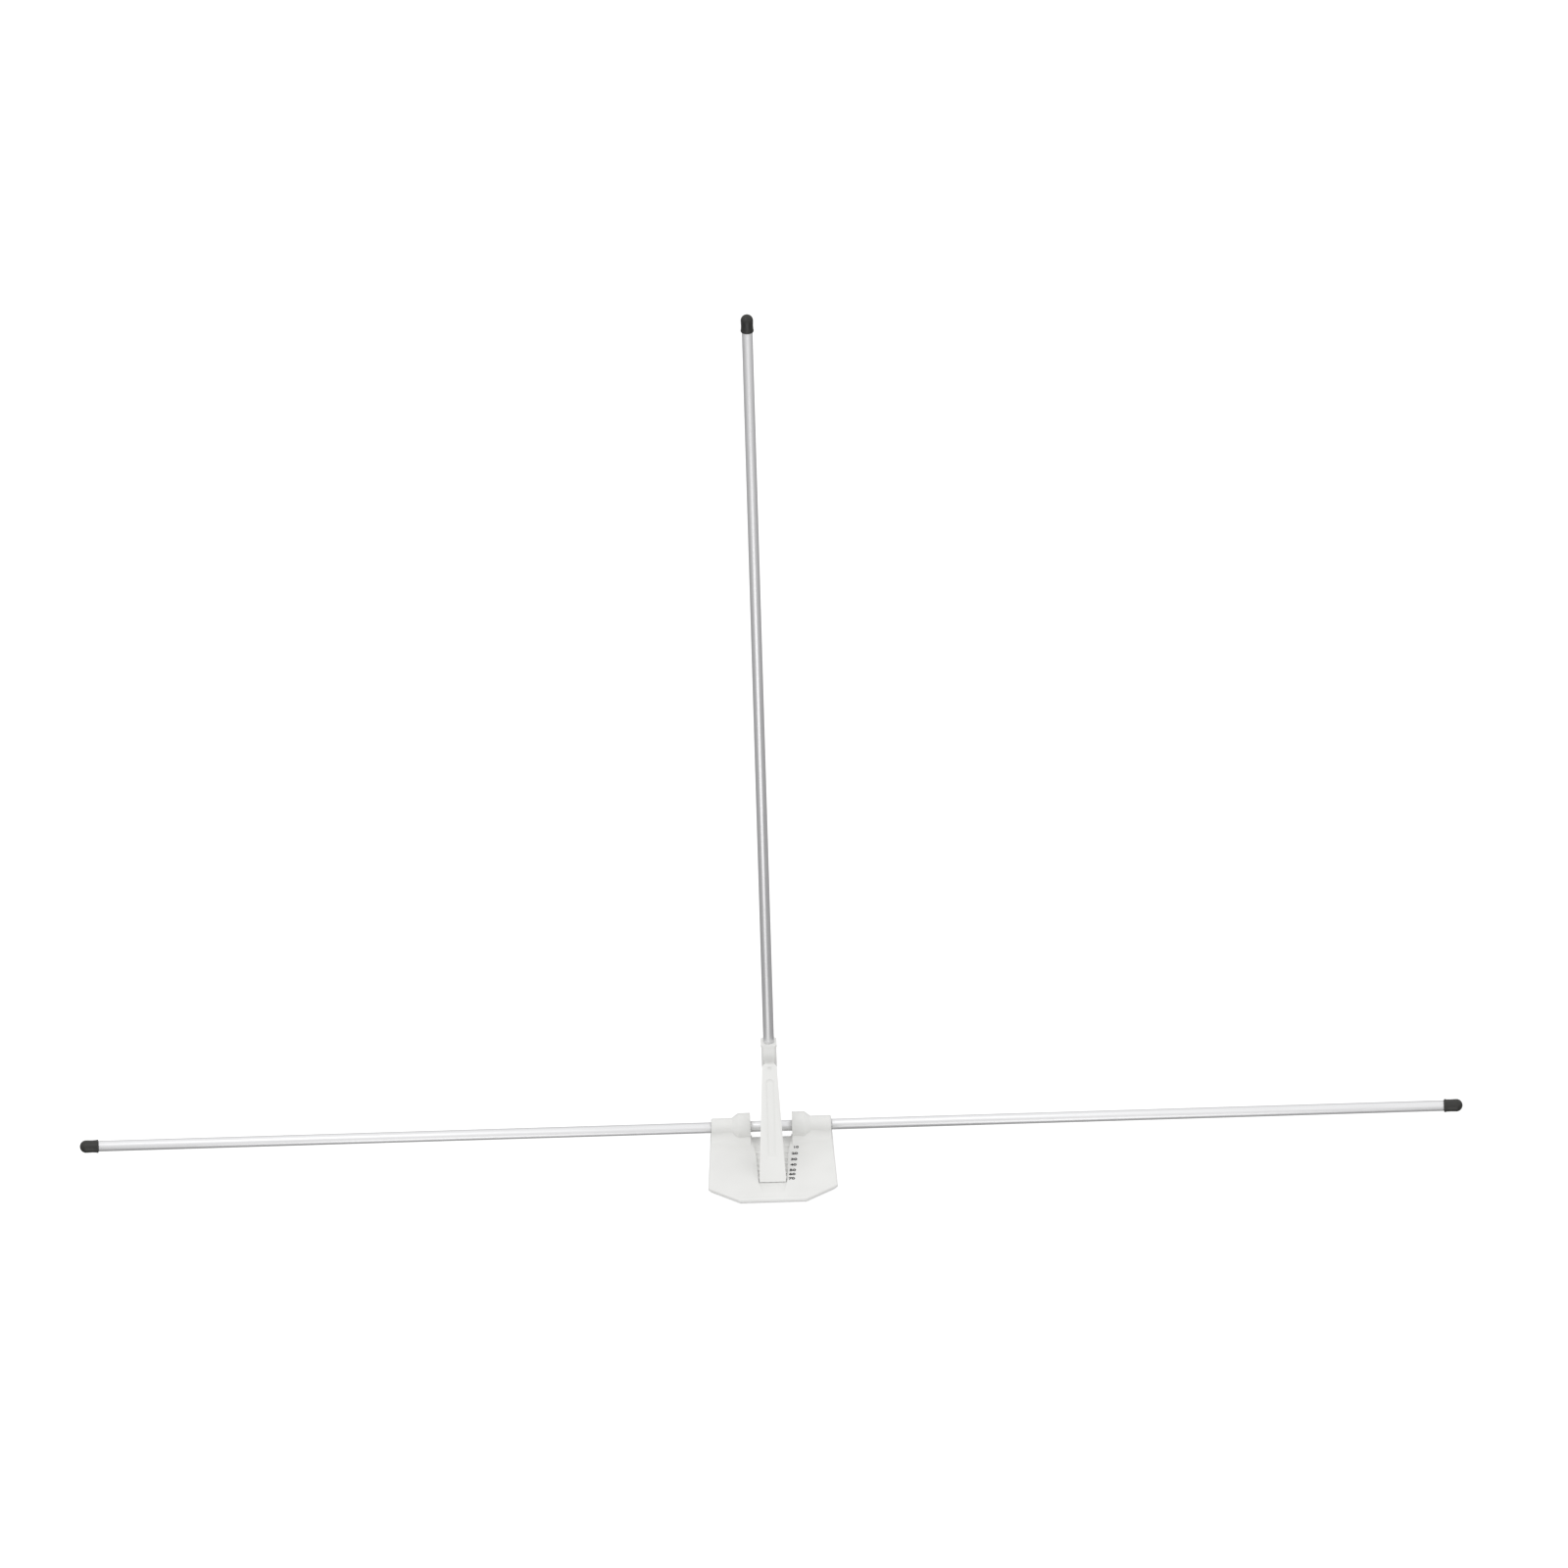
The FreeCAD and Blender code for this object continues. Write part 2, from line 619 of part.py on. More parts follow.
def brace_groove(foot):
    """The long shallow groove down the brace's face, with a round upper end."""
    floor_top = f"(groove_depth - {BRACE_TOP_FRONT})"
    floor_foot = "(groove_depth - brace_foot_front)"
    low = f"{foot} + groove_end"
    high = "0 - groove_start - groove_width / 2"
    half = "groove_width / 2"
    outline = [(half, high), (half, low), (f"0 - {half}", low), (f"0 - {half}", high)]
    plan = prism("groove_plan", "XZ_Plane", outline, THROUGH, midplane=True)
    arch_sizes = {"Radius": half, "Height": THROUGH}
    arch = primitive("Cylinder", "groove_arch", arch_sizes, ("0", HALF_THROUGH, high), ALONG_Y)
    outside = f"0 - {HALF_THROUGH}"
    side_view = [(outside, "0"), (outside, foot), (floor_foot, foot), (floor_top, "0")]
    side = prism("groove_side", "YZ_Plane", side_view, THROUGH, midplane=True)
    return common("brace_groove", fuse("groove_front_view", plan, arch), side)


def brace():
    """The brace: a tapered trough that hangs on its pin, with a bar across its foot that drops into a step.

    It is shaped hanging straight down from the pin, face to the front, then turned to lean on the last step.
    The foot is trimmed level, so that only the bar goes below the channel's floor.
    """
    foot = f"(0 - {BRACE_SPAN})"
    lug = centred_bar("brace_lug", "lug_dia / 2", HALF_LUG, "0", foot)
    solid = fuse("brace_solid", brace_outside(foot), lug)
    trough = brace_trough(f"{foot} + brace_hollow_end")
    pin_hole = centred_bar("brace_pin_hole", "pin_dia / 2 + fit_clearance", "brace_top_width")
    dimple_sizes = {"Radius": "dimple_dia / 2", "Height": f"{MARGIN} + dimple_depth"}
    dimple_at = ("0", f"dimple_depth - {BRACE_TOP_FRONT}", "0")
    dimple = primitive("Cylinder", "brace_dimple", dimple_sizes, dimple_at, ALONG_Y)
    shaped = cut("brace_shaped", solid, trough, pin_hole, dimple, brace_groove(foot))
    shaped.Placement = FreeCAD.Placement(FreeCAD.Vector(), ALONG_Y)
    bind(shaped, "Placement.Rotation.Angle", BRACE_TILT)
    place(shaped, "0", "0 - pin_ahead", "pin_rise")

    trim_top = f"(0 - {LUG_DROP} - foot_trim)"
    trim_at = ("0", f"0 - {LAST_STEP} - {HALF_THROUGH}", f"{trim_top} - {HALF_THROUGH}")
    trim_block = box("foot_trim_block", THROUGH, THROUGH, HALF_THROUGH, trim_at)
    lug_at = (f"0 - {LAST_STEP}", f"0 - {LUG_DROP}")
    lug_space = centred_bar("lug_space", "lug_dia / 2", "brace_foot_width", *lug_at)
    trim = cut("foot_trim_tool", trim_block, lug_space)
    hub_part(cut("brace_trimmed", shaped, trim), "brace")


# --- rods and caps ---


def rod_and_cap(name, length, start, turn, direction):
    """A tube and the soft bullet-shaped cap on its outer end."""
    inner = "rod_dia / 2 - rod_wall"
    radius = "rod_dia / 2"
    far = f"({start} + {length})"

    def at(distance):
        """The place this far along the rod."""
        return tuple(f"{step} * ({distance})" if step else "0" for step in direction)

    tube = primitive("Cylinder", f"{name}_outside", {"Radius": radius, "Height": length}, at(start), turn)
    core_sizes = {"Radius": inner, "Height": f"{length} + 2 * {MARGIN}"}
    core = primitive("Cylinder", f"{name}_inside", core_sizes, at(f"{start} - {MARGIN}"), turn)
    hub_part(cut(f"{name}_tube", tube, core), name)

    dome_middle = f"({far} + cap_end_wall - cap_dia / 2)"
    skirt_start = f"({dome_middle} - cap_straight)"
    skirt_sizes = {"Radius": "cap_dia / 2", "Height": "cap_straight"}
    skirt = primitive("Cylinder", f"{name}_cap_skirt", skirt_sizes, at(skirt_start), turn)
    dome = primitive("Sphere", f"{name}_cap_dome", {"Radius": "cap_dia / 2"}, at(dome_middle))
    hole_sizes = {"Radius": "rod_dia / 2 + seat_clearance", "Height": f"{far} - {skirt_start} + {MARGIN}"}
    hole = primitive("Cylinder", f"{name}_cap_hole", hole_sizes, at(f"{skirt_start} - {MARGIN}"), turn)
    hub_part(cut(f"{name}_cap_moulded", fuse(f"{name}_cap_solid", skirt, dome), hole), f"{name}_cap")


def rods():
    """The two level rods and the upright one."""
    along_left = FreeCAD.Rotation(FreeCAD.Vector(0, 1, 0), -90)
    rod_and_cap("left_rod", "side_rod_length", ROD_START, along_left, (-1, 0, 0))
    rod_and_cap("right_rod", "side_rod_length", ROD_START, ALONG_X, (1, 0, 0))
    rod_and_cap("upright_rod", "upright_rod_length", f"({ROD_FOOT} + swing_clearance)", UPRIGHT, (0, 0, 1))


# --- scale ---


def numeral(character, left, low, height):
    """The strokes of one numeral as thin boxes."""
    tall = measure("digit_height")
    wide = measure("digit_width")
    pen = measure("stroke")
    ink = measure("ink_thickness")
    half = tall / 2
    right = wide - pen
    places = (
        (0, tall - pen, wide, pen),
        (0, half, pen, half),
        (right, half, pen, half),
        (0, half - pen / 2, wide, pen),
        (0, 0, pen, half),
        (right, 0, pen, half),
        (0, 0, wide, pen),
    )
    strokes = []
    for drawn, (x, y, length, breadth) in zip(NUMERAL_STROKES[character], places):
        if drawn:
            strokes.append(Part.makeBox(length, breadth, ink, FreeCAD.Vector(left + x, low + y, height)))
    return strokes[0].multiFuse(strokes[1:]).removeSplitter()


def scale_numerals():
    """A two-figure number beside every step, printed on the plate. Each is one flat solid per figure."""
    first = STEP_REACH[0]
    last = STEP_REACH[-1]
    figures = []
    for number in range(1, len(STEP_REACH) + 1):
        reach = measure(f"step_reach_{number}")
        share = (reach - first) / (last - first)
        middle = measure("mark_inner") - share * measure("mark_slant")
        low = -reach - measure("mark_lead") - measure("digit_height") / 2
        width = 2 * measure("digit_width") + measure("digit_gap")
        for place_in_number, character in enumerate(f"{number}0"):
            left = middle - width / 2 + place_in_number * (measure("digit_width") + measure("digit_gap"))
            figures.append(numeral(character, left, low, measure(PLATE_TOP)))
    marks = doc.addObject("Part::Feature", "scale_figures")
    marks.Shape = Part.makeCompound(figures)
    hub_part(marks, "scale_numerals")


base_plate()
foot_pads()
grip_rings()
hinge_axle()
axle_cross_pin()
arm()
brace_pin()
brace()
rods()
scale_numerals()
doc.recompute()

for item in doc.Objects:
    if "Invalid" in item.State or "Error" in item.State:
        raise RuntimeError(f"{item.Name} could not be made: {item.State}")
os.makedirs("parts", exist_ok=True)
for piece in subparts:
    if piece.Shape.isNull() or not piece.Shape.isValid():
        raise RuntimeError(f"{piece.Label} has no valid shape")
for piece in subparts:
    piece.Shape.exportStep(f"parts/{piece.Label}.step")
    print(f"{piece.Label}: {len(piece.Shape.Solids)} solid(s), {piece.Shape.Volume:.1f} mm3")
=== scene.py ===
# %% [markdown]
# A three-rod stand: a low white plastic base, two level side rods, and an upright rod that stands in a hinged
# arm. A brace props the arm, with its foot in one of the base's steps. The engineering model is loaded as a
# fixed frame, and this file gives it its looks.
# Every place comes from that frame, so nothing has to be fitted by eye. Lengths are in metres.

# %% Load the frame
import math

import bmesh
import bpy
from mathutils import Matrix, Vector


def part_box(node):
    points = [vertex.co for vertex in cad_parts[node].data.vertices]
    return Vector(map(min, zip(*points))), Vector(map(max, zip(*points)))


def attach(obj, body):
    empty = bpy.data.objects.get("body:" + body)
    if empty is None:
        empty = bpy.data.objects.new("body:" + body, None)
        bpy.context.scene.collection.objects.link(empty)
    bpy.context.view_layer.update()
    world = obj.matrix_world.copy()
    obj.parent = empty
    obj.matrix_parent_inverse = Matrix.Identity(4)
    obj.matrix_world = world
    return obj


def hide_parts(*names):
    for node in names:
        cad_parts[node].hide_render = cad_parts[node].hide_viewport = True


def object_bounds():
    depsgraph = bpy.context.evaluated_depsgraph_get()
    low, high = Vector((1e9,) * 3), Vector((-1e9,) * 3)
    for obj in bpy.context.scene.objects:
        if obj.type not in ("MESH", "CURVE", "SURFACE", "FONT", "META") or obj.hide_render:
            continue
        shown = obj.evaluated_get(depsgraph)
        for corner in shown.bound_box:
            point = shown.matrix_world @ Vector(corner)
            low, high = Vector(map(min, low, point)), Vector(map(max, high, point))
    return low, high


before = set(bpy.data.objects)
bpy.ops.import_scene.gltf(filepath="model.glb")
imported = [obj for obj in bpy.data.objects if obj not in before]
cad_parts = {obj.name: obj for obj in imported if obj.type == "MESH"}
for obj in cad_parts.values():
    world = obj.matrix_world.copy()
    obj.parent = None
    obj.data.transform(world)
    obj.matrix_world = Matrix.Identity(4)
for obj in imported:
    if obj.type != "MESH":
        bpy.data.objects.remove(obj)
cad_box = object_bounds()
MM = 0.001
print("size in mm:", [round(side / MM, 1) for side in cad_box[1] - cad_box[0]])

# %% [markdown]
# The stand is looked at from the front and from 30 degrees above, by a lens so far away that the level rods
# stay as thick as the upright one. The lens is rolled a little, so the level rods climb to the right.
# The axle is the natural thing to aim from, because it lies at the middle of the hub. Two offsets say how far
# it sits below the centre of the view and to the left of it.

# %% Camera
ELEVATION = math.radians(30.0)
ROLL = math.radians(1.73)
DISTANCE = 100.0
FARTHEST_SEEN = 10 * DISTANCE
VIEW_WIDTH = 1.018
AXLE_BELOW_CENTRE = 0.222
AXLE_LEFT_OF_CENTRE = 0.0083
SENSOR = 36.0

axle_low, axle_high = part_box("hinge_axle")
axle = (axle_low + axle_high) / 2
sight = Vector((0, math.cos(ELEVATION), -math.sin(ELEVATION)))
level = Vector((1, 0, 0))
rise = Vector((0, math.sin(ELEVATION), math.cos(ELEVATION)))
camera_right = math.cos(ROLL) * level - math.sin(ROLL) * rise
camera_up = math.sin(ROLL) * level + math.cos(ROLL) * rise
target = axle + AXLE_LEFT_OF_CENTRE * camera_right + AXLE_BELOW_CENTRE * camera_up

camera_data = bpy.data.cameras.new("camera")
camera_data.sensor_width = SENSOR
camera_data.lens = SENSOR * DISTANCE / VIEW_WIDTH
camera_data.clip_end = FARTHEST_SEEN
camera = bpy.data.objects.new("camera", camera_data)
bpy.context.scene.collection.objects.link(camera)
turn = Matrix((camera_right, camera_up, -sight)).transposed().to_4x4()
camera.matrix_world = Matrix.Translation(target - DISTANCE * sight) @ turn
bpy.context.scene.camera = camera
print("lens in mm:", round(camera_data.lens))

# %% [markdown]
# Every material below is a small graph of nodes. One function turns the sRGB hex colours that people write
# down into the linear numbers that the shader wants, one adds a node with its settings and links, and one
# starts a material.

# %% Helpers for materials


def linear(hex_colour):
    """sRGB hex, such as ebebe8, as linear red, green, blue and alpha, by the curve of the sRGB standard."""
    channels = [int(hex_colour[at:at + 2], 16) / 255 for at in (0, 2, 4)]
    return [c / 12.92 if c <= 0.04045 else ((c + 0.055) / 1.055) ** 2.4 for c in channels] + [1.0]


def add_node(tree, kind, settings=None, links=None):
    """A node with its properties or input values set, and its inputs linked from other nodes' outputs."""
    node = tree.nodes.new(kind)
    for name, value in (settings or {}).items():
        if name in node.inputs:
            node.inputs[name].default_value = value
        else:
            setattr(node, name, value)
    for name, source in (links or {}).items():
        tree.links.new(source, node.inputs[name])
    return node


def new_material(name, settings):
    """A material with the shader's own sockets set. Returns it with its node tree and its shader."""
    material = bpy.data.materials.new(name)
    material.use_nodes = True
    tree = material.node_tree
    shader = tree.nodes["Principled BSDF"]
    for socket, value in settings.items():
        shader.inputs[socket].default_value = value
    return material, tree, shader


print("white ebebe9 in linear light:", [round(channel, 3) for channel in linear("ebebe9")])

# %% [markdown]
# A real surface is never one even value: its making leaves a grain, lines or dents. Here a noise stands for
# what the making left, and the colour, the gloss and the relief each follow such a noise.
# The noise is laid out in the object's own space, so it needs no unwrapping and has a true size in metres.

# %% Helpers for what the making leaves on a surface


def surface_noise(tree, per_metre, detail, axis_scales=None):
    """A noise with so many cells to the metre. An axis scale below 1 draws the cells out along that axis."""
    place = add_node(tree, "ShaderNodeTexCoord").outputs["Object"]
    if axis_scales is not None:
        scaled = add_node(tree, "ShaderNodeMapping", {"Scale": axis_scales}, {"Vector": place})
        place = scaled.outputs["Vector"]
    noise = add_node(tree, "ShaderNodeTexNoise", {"Scale": per_metre, "Detail": detail}, {"Vector": place})
    return noise.outputs["Fac"]


def vary_colour(tree, shader, noise, dark, pale):
    """Lets a noise take the colour from dark to pale."""
    tone = add_node(tree, "ShaderNodeValToRGB", links={"Fac": noise})
    tone.color_ramp.elements[0].color = linear(dark)
    tone.color_ramp.elements[1].color = linear(pale)
    tree.links.new(tone.outputs["Color"], shader.inputs["Base Color"])


def vary_roughness(tree, shader, noise, least, most):
    """Lets a noise take the roughness from its least to its most."""
    gloss = add_node(tree, "ShaderNodeMapRange", {"To Min": least, "To Max": most}, {"Value": noise})
    tree.links.new(gloss.outputs["Result"], shader.inputs["Roughness"])


def add_relief(tree, shader, noise, strength, depth):
    """Lets a noise tilt the surface, on top of any relief that the shader already has."""
    relief = add_node(tree, "ShaderNodeBump", {"Strength": strength, "Distance": depth}, {"Height": noise})
    if shader.inputs["Normal"].is_linked:
        relief_below = shader.inputs["Normal"].links[0].from_socket
        tree.links.new(relief_below, relief.inputs["Normal"])
    tree.links.new(relief.outputs["Normal"], shader.inputs["Normal"])


print("a surface can now vary in colour, gloss and relief")

# %% [markdown]
# The base, the arm and the brace are moulded ABS in a warm white. The mould is lightly spark-eroded, so the
# surface is satin with a grain of about 0.3 mm, and thick places have sunk by a few hundredths of a
# millimetre. A slow noise gives the sinks and a fine noise gives the grain; both only tilt the surface a
# little. The grain is drawn about twice as coarse as the real one, so that it shows.

# %% Moulded ABS
ABS_GRAIN_PER_METRE = 1600.0
ABS_SINKS_PER_METRE = 45.0


def moulded_abs():
    """White ABS from a lightly spark-eroded mould."""
    material, tree, shader = new_material("moulded_white_abs", {"IOR": 1.53})
    sinks = surface_noise(tree, ABS_SINKS_PER_METRE, detail=1.0)
    grain = surface_noise(tree, ABS_GRAIN_PER_METRE, detail=2.0)
    vary_colour(tree, shader, sinks, dark="e3e3e1", pale="ebebe9")
    vary_roughness(tree, shader, grain, least=0.36, most=0.5)
    add_relief(tree, shader, sinks, strength=0.12, depth=0.4 * MM)
    add_relief(tree, shader, grain, strength=0.16, depth=0.05 * MM)
    return material


abs_white = moulded_abs()
print("made", abs_white.name)

# %% [markdown]
# The rods and the axle are drawn aluminium tube, etched and clear anodised. Drawing leaves faint straight
# lines along the length, and the etch turns the mirror into a soft satin. The lines are a noise that is drawn
# out along the rod, so each rod direction needs its own axis scales. Anodised metal keeps its own pale grey,
# and stays a metal: its brightness is all reflection.

# %% Anodised aluminium
DRAWN_LINES_PER_METRE = 1500.0
DRAWN_LINE_SCALE = 0.02


def anodised_aluminium(name, axis_scales):
    """Satin aluminium with drawing lines along the axis that has the small scale."""
    material, tree, shader = new_material(name, {"Metallic": 1.0})
    lines = surface_noise(tree, DRAWN_LINES_PER_METRE, detail=3.0, axis_scales=axis_scales)
    vary_colour(tree, shader, lines, dark="dededf", pale="eeeeef")
    vary_roughness(tree, shader, lines, least=0.34, most=0.46)
    add_relief(tree, shader, lines, strength=0.1, depth=0.03 * MM)
    return material


level_aluminium = anodised_aluminium("drawn_anodised_aluminium_level", (DRAWN_LINE_SCALE, 1.0, 1.0))
upright_aluminium = anodised_aluminium("drawn_anodised_aluminium_upright", (1.0, 1.0, DRAWN_LINE_SCALE))
print("made", level_aluminium.name, "and", upright_aluminium.name)

# %% [markdown]
# The caps are dip-moulded soft PVC: a hot former is dipped, so the outside cools free and comes out smooth
# with a slightly uneven satin skin. A slow noise dents it by a few hundredths of a millimetre.

# %% Dip-moulded PVC
SKIN_DENTS_PER_METRE = 420.0


def dipped_pvc():
    """Soft black PVC with the uneven skin of dipping."""
    material, tree, shader = new_material("dip_moulded_black_pvc", {"IOR": 1.53})
    skin = surface_noise(tree, SKIN_DENTS_PER_METRE, detail=3.0)
    vary_colour(tree, shader, skin, dark="161614", pale="24241f")
    vary_roughness(tree, shader, skin, least=0.3, most=0.5)
    add_relief(tree, shader, skin, strength=0.35, depth=0.15 * MM)
    return material


pvc_black = dipped_pvc()
print("made", pvc_black.name)

# %% [markdown]
# The grip rings and the foot pads are nitrile rubber: nearly black, dull, with a fine moulded grain.
# The two pins are ground steel, and the grinding lines run round the brace's pin. The numbers are pad-printed
# ink, which is a little uneven. These pieces are small, so one noise moves only their colour and relief.

# %% Rubber, steel and ink
RUBBER_GRAIN_PER_METRE = 1200.0
GRINDING_LINES_PER_METRE = 2500.0
GRINDING_AXIS_SCALES = (1.0, 0.05, 0.05)
INK_SPECKS_PER_METRE = 1500.0


def speckled(name, settings, noise_per_metre, dark, pale, strength, depth, axis_scales=None):
    """A material with one gloss, whose colour and relief both follow one noise."""
    material, tree, shader = new_material(name, settings)
    specks = surface_noise(tree, noise_per_metre, detail=2.0, axis_scales=axis_scales)
    vary_colour(tree, shader, specks, dark, pale)
    add_relief(tree, shader, specks, strength, depth)
    return material


nitrile = speckled("moulded_nitrile_rubber", {"Roughness": 0.75, "IOR": 1.52}, RUBBER_GRAIN_PER_METRE,
                   dark="141414", pale="202020", strength=0.3, depth=0.1 * MM)
steel = speckled("ground_steel", {"Roughness": 0.28, "Metallic": 1.0}, GRINDING_LINES_PER_METRE,
                 dark="a8a8ab", pale="c4c4c7", strength=0.15, depth=0.02 * MM,
                 axis_scales=GRINDING_AXIS_SCALES)
ink = speckled("pad_printed_ink", {"Roughness": 0.6, "IOR": 1.5}, INK_SPECKS_PER_METRE,
               dark="0e0e0e", pale="202020", strength=0.2, depth=0.03 * MM)
print("made", nitrile.name, steel.name, ink.name)

# %% [markdown]
# The engineering solids already have the right shape, so they stay and only get their finish. Most of their
# edges are dead sharp, though, and a real moulding or a deburred tube has no such edge. The bevel modifier
# rounds them by 0.15 to 0.3 mm, which catches the light as a thin line. Each face of these solids has its own
# copy of the corners, so a weld comes first.

# %% Finish the carried-over pieces
FINISHES = {
    "base_plate": abs_white,
    "arm": abs_white,
    "brace": abs_white,
    "hinge_axle": level_aluminium,
    "left_rod": level_aluminium,
    "right_rod": level_aluminium,
    "upright_rod": upright_aluminium,
    "axle_cross_pin": steel,
    "brace_pin": steel,
    "left_grip_ring": nitrile,
    "right_grip_ring": nitrile,
    "upright_grip_ring": nitrile,
    "back_left_foot_pad": nitrile,
    "back_right_foot_pad": nitrile,
    "front_left_foot_pad": nitrile,
    "front_right_foot_pad": nitrile,
}
EDGE_ROUND = {
    "base_plate": 0.2 * MM,
    "arm": 0.3 * MM,
    "brace": 0.25 * MM,
    "brace_pin": 0.2 * MM,
    "axle_cross_pin": 0.15 * MM,
    "left_rod": 0.15 * MM,
    "right_rod": 0.15 * MM,
    "upright_rod": 0.15 * MM,
    "hinge_axle": 0.2 * MM,
}
ROUND_SEGMENTS = 2
SHARP_FROM = math.radians(35)
WELD = 0.002 * MM


def finish_node(name, material):
    """Gives a carried-over node its material and, if EDGE_ROUND names it, its rounded edges."""
    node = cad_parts[name]
    node.data.materials.clear()
    node.data.materials.append(material)
    if name in EDGE_ROUND:
        weld = node.modifiers.new("weld", "WELD")
        weld.merge_threshold = WELD
        bevel = node.modifiers.new("edge_round", "BEVEL")
        bevel.width = EDGE_ROUND[name]
        bevel.segments = ROUND_SEGMENTS
        bevel.limit_method = "ANGLE"
        bevel.angle_limit = SHARP_FROM
        bevel.harden_normals = True


for node_name, node_material in FINISHES.items():
    finish_node(node_name, node_material)
print("finished", len(FINISHES), "of", len(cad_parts), "nodes; the caps and the numbers come next")

# %% [markdown]
# A dipped cap is never as plain as the engineering one: its mouth ends in a soft bead, the skirt is drawn in
# a little where it grips the rod, and the end is a full dome. A cap is a lathe shape, so it starts as a
# profile. The bore is part of the profile, so the cap is a closed shell with a real inside.

# %% Profile of a dipped cap
DOME_STEPS = 12
WALL = 0.58 * MM
END_THICKNESS = 3.0 * MM
LIP = 0.3 * MM
LIP_FLARE = 0.2 * MM
BEAD = 0.22 * MM
BEAD_END = 0.9 * MM
SKIRT_START = 1.5 * MM
WAIST = 0.12 * MM
SHOULDER_LENGTH = 0.8 * MM
SHOULDER_SINK = 0.02 * MM


def cap_profile(length, radius):
    """Pairs of distance from the mouth and radius, from the bore's end out to the mouth and over the dome."""
    bore = radius - WALL
    bore_end = length - END_THICKNESS
    dome_start = length - radius
    inside = [(bore_end, 0.0), (bore_end, bore), (LIP, bore), (0.0, bore + LIP_FLARE)]
    bead = [(0.0, radius), (LIP, radius + BEAD), (BEAD_END, radius + BEAD), (SKIRT_START, radius)]
    skirt = [(dome_start / 2, radius - WAIST), (dome_start - SHOULDER_LENGTH, radius - SHOULDER_SINK)]
    angles = [math.radians(90) * step / DOME_STEPS for step in range(DOME_STEPS)]
    dome = [(dome_start + radius * math.sin(angle), radius * math.cos(angle)) for angle in angles]
    return inside + bead + skirt + dome + [(length, 0.0)]


print("wall of a cap in mm:", round(WALL / MM, 2))

# %% [markdown]
# Turning the profile by hand, ring by ring, gives clean rows of four-sided faces and a mesh that is closed
# from the start. A point on the axis needs only one corner, so the faces that meet there are triangles. Each
# cap takes its length, its width and its place from the engineering cap that it replaces, and rides on its
# rod.

# %% Turn the three caps
CAP_SIDES = 72
CAPS = {
    "left_rod_cap": (Vector((-1, 0, 0)), "left_rod"),
    "right_rod_cap": (Vector((1, 0, 0)), "right_rod"),
    "upright_rod_cap": (Vector((0, 0, 1)), "upright_rod"),
}


def turned(name, profile, mouth, out):
    """A closed mesh, made by turning a profile round an axis. The profile's two ends lie on the axis."""
    mesh = bmesh.new()
    across = out.orthogonal().normalized()
    also = out.cross(across)
    turns = [math.tau * side / CAP_SIDES for side in range(CAP_SIDES)]
    spokes = [math.cos(angle) * across + math.sin(angle) * also for angle in turns]
    rings = []
    for along, radius in profile:
        middle = mouth + along * out
        if radius == 0:
            rings.append([mesh.verts.new(middle)])
        else:
            rings.append([mesh.verts.new(middle + radius * spoke) for spoke in spokes])
    for near, far in zip(rings, rings[1:]):
        for side in range(CAP_SIDES):
            following = (side + 1) % CAP_SIDES
            corners = [near[side % len(near)], near[following % len(near)],
                       far[following % len(far)], far[side % len(far)]]
            mesh.faces.new(list(dict.fromkeys(corners)))
    bmesh.ops.recalc_face_normals(mesh, faces=mesh.faces)
    for face in mesh.faces:
        face.smooth = True
    data = bpy.data.meshes.new(name)
    mesh.to_mesh(data)
    mesh.free()
    piece = bpy.data.objects.new(name, data)
    bpy.context.scene.collection.objects.link(piece)
    return piece


for cap_name, (outward, carried_by) in CAPS.items():
    cap_low, cap_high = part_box(cap_name)
    sides = sorted(cap_high - cap_low)
    cap_length, cap_radius = sides[2], sides[0] / 2
    cap_mouth = (cap_low + cap_high) / 2 - outward * cap_length / 2
    cap_piece = turned("dipped_" + cap_name, cap_profile(cap_length, cap_radius), cap_mouth, outward)
    cap_piece.data.materials.append(pvc_black)
    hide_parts(cap_name)
    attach(cap_piece, carried_by)
    print("turned", cap_piece.name, "faces:", len(cap_piece.data.polygons))

# %% [markdown]
# The numbers beside the steps are pad-printed, so their strokes have even weight. The engineering model has
# plain square strokes in the same places. Its rows are told apart by how far back they lie: each row begins
# more than 4 mm in front of where the row behind it began.

# %% Find the rows of figures
ROW_DEPTH = 4.0 * MM


def figure_rows():
    """For each row of figures, from back to front: its left, right, front and back limits."""
    corners = sorted((vertex.co.copy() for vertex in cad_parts["scale_numerals"].data.vertices),
                     key=lambda corner: -corner.y)
    rows = [[corners[0]]]
    for corner in corners[1:]:
        if rows[-1][0].y - corner.y > ROW_DEPTH:
            rows.append([])
        rows[-1].append(corner)
    return [(min(c.x for c in row), max(c.x for c in row), min(c.y for c in row), max(c.y for c in row))
            for row in rows]


number_rows = figure_rows()
print("rows of figures:", len(number_rows))

# %% [markdown]
# Each row gets a number that is set in type, thickened a little as ink spreads, stretched to the row's width,
# and given the thickness of the engineering figures. Type comes as a curve, so it is turned into a mesh and
# welded into one closed skin.

# %% Print the numbers
TYPE_WEIGHT = 0.12 * MM
CAPITAL_SHARE = 0.73
TYPE_CURVE_STEPS = 6


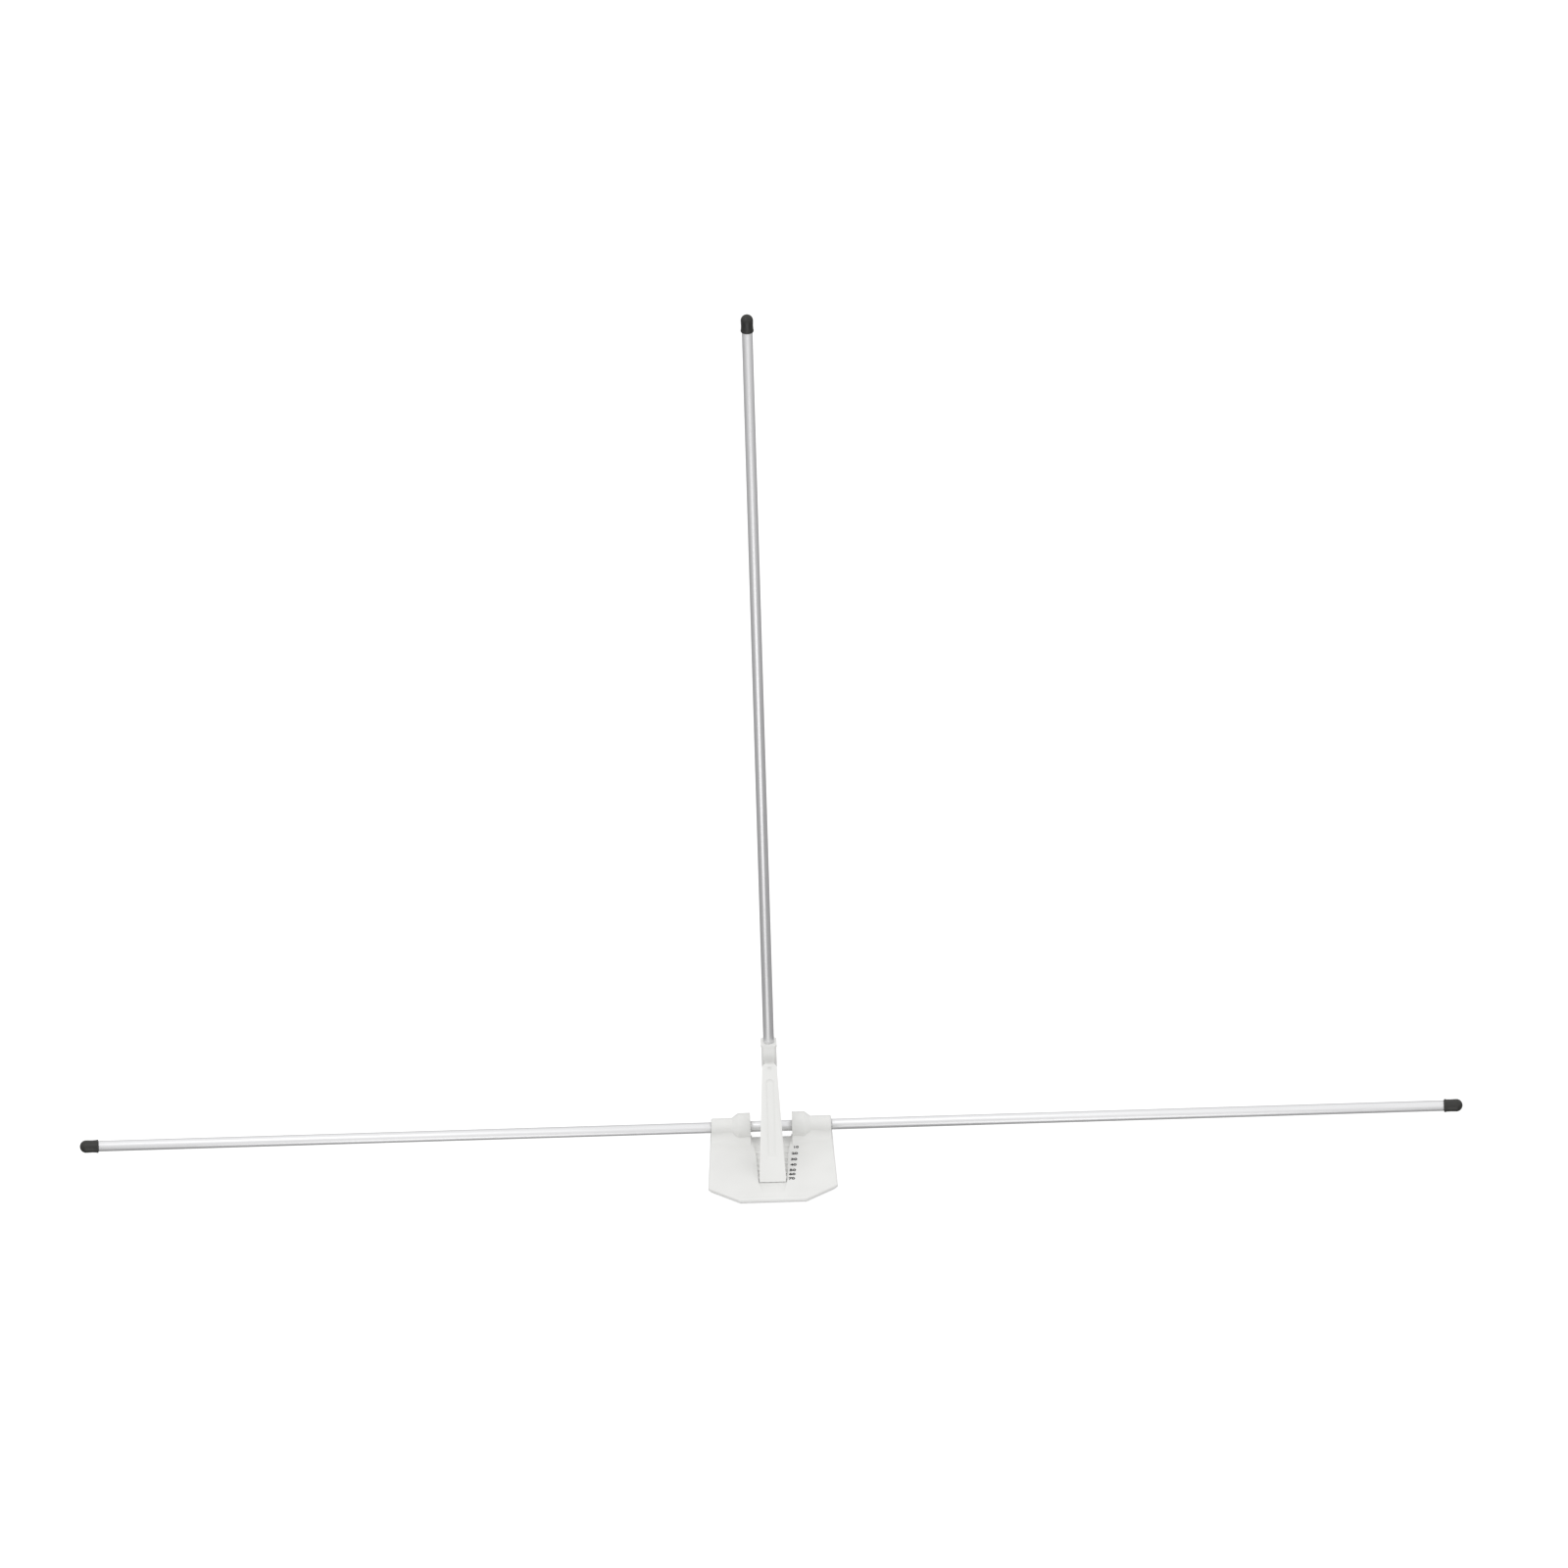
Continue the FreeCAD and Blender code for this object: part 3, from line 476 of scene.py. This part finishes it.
def printed_number(text, left, right, front, back, low, high):
    """A number set in type and laid flat, as tall and as wide as its row."""
    curve = bpy.data.curves.new("number_" + text, "FONT")
    curve.body = text
    curve.align_x = "CENTER"
    curve.size = (back - front - 2 * TYPE_WEIGHT) / CAPITAL_SHARE
    curve.offset = TYPE_WEIGHT
    curve.extrude = (high - low) / 2
    curve.resolution_u = TYPE_CURVE_STEPS
    typed = bpy.data.objects.new("typed_" + text, curve)
    bpy.context.scene.collection.objects.link(typed)
    bpy.context.view_layer.update()
    data = bpy.data.meshes.new_from_object(typed.evaluated_get(bpy.context.evaluated_depsgraph_get()))
    bpy.data.objects.remove(typed)
    data.name = "printed_number_" + text
    xs = [vertex.co.x for vertex in data.vertices]
    ys = [vertex.co.y for vertex in data.vertices]
    stretch = (right - left) / (max(xs) - min(xs))
    middle = (max(xs) + min(xs)) / 2
    for vertex in data.vertices:
        vertex.co.x = (vertex.co.x - middle) * stretch + (left + right) / 2
        vertex.co.y += front - min(ys)
        vertex.co.z += (low + high) / 2
    welded = bmesh.new()
    welded.from_mesh(data)
    bmesh.ops.remove_doubles(welded, verts=welded.verts, dist=WELD)
    bmesh.ops.recalc_face_normals(welded, faces=welded.faces)
    welded.to_mesh(data)
    welded.free()
    data.materials.clear()
    data.materials.append(ink)
    piece = bpy.data.objects.new(data.name, data)
    bpy.context.scene.collection.objects.link(piece)
    return piece


ink_low, ink_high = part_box("scale_numerals")
for row_number, limits in enumerate(number_rows, 1):
    number_piece = printed_number(f"{row_number}0", *limits, ink_low.z, ink_high.z)
    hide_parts("scale_numerals")
    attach(number_piece, "base")
    print("printed", number_piece.name, "faces:", len(number_piece.data.polygons))

# %% [markdown]
# The studio is a big soft tent. It is brightest overhead, a little to the front, and dims downwards, so the
# level rods are bright along the middle and greyer at both edges, and the plate's front edge is darker than
# its top. The upright rod would mirror only the dim lower tent, so a low card in front lights it.
# Both lights are worked out from the direction in which the tent is seen. A dot product tells how near that
# direction is to the middle of a light, and a map range turns the nearness into brightness.

# %% Tent of light
TENT_BRIGHTEST = Vector((0.0, -0.26, 0.966))
TENT_FADE = (-0.35, 0.6)
TENT_LOW, TENT_HIGH = 0.4, 1.06
CARD_PLACE = Vector((0.0, -0.87, -0.5))
CARD_EDGE = (0.9, 0.985)
CARD_BRIGHTNESS = 1.25


def glow(tree, seen, middle, fade, dim, bright):
    """Brightness that rises from dim to bright as the direction seen nears the middle of a light."""
    nearness = add_node(tree, "ShaderNodeVectorMath", {"operation": "DOT_PRODUCT"}, {0: seen})
    nearness.inputs[1].default_value = middle
    limits = {"From Min": fade[0], "From Max": fade[1], "To Min": dim, "To Max": bright}
    brightness = add_node(tree, "ShaderNodeMapRange", limits, {"Value": nearness.outputs["Value"]})
    return brightness.outputs["Result"]


world = bpy.data.worlds.new("studio")
bpy.context.scene.world = world
world.use_nodes = True
sky = world.node_tree
direction = add_node(sky, "ShaderNodeTexCoord").outputs["Generated"]
tent = glow(sky, direction, TENT_BRIGHTEST, TENT_FADE, TENT_LOW, TENT_HIGH)
card = glow(sky, direction, CARD_PLACE, CARD_EDGE, 0.0, CARD_BRIGHTNESS)
both = add_node(sky, "ShaderNodeMath", {"operation": "ADD"}, {0: tent, 1: card})
background = sky.nodes["Background"]
background.inputs["Color"].default_value = linear("ffffff")
sky.links.new(both.outputs["Value"], background.inputs["Strength"])
print("tent brightness from", TENT_LOW, "to", TENT_HIGH)

# %% [markdown]
# The stand rests on a pale floor. The floor glows by itself, so it comes out evenly pale with only a trace of
# shadow. Mirror and bounce rays don't see it, so it does not wash out the undersides.

# %% Floor
FLOOR_SIZE = 60.0
FLOOR_DROP = 0.2 * MM
FLOOR_GLOW = 0.78

bpy.ops.mesh.primitive_plane_add(size=FLOOR_SIZE, location=(0, 0, cad_box[0].z - FLOOR_DROP))
floor = bpy.context.object
floor.name = "floor"
floor_settings = {"Base Color": linear("9c9c9c"), "Roughness": 0.9, "Emission Color": linear("ffffff"),
                  "Emission Strength": FLOOR_GLOW}
floor_material, _, _ = new_material("pale_floor", floor_settings)
floor.data.materials.append(floor_material)
floor.visible_glossy = False
floor.visible_diffuse = False
print("floor below the pads, in mm:", FLOOR_DROP / MM)

# %% [markdown]
# One wide softbox, high up in front and to the left, gives the tent's light a direction. Colours are shown
# without a film curve, so that white plastic stays as white as it was set.

# %% Overhead softbox
LAMP_PLACE = Vector((-0.9, -1.4, 3.2))
LAMP_WIDTH = 1.6
LAMP_WATTS = 8

lamp_data = bpy.data.lights.new("overhead_softbox", "AREA")
lamp_data.energy = LAMP_WATTS
lamp_data.size = LAMP_WIDTH
lamp = bpy.data.objects.new("overhead_softbox", lamp_data)
lamp.location = LAMP_PLACE
lamp.rotation_euler = (axle - LAMP_PLACE).to_track_quat("-Z", "Y").to_euler()
bpy.context.scene.collection.objects.link(lamp)
bpy.context.scene.view_settings.view_transform = "Standard"
print("softbox watts:", LAMP_WATTS)
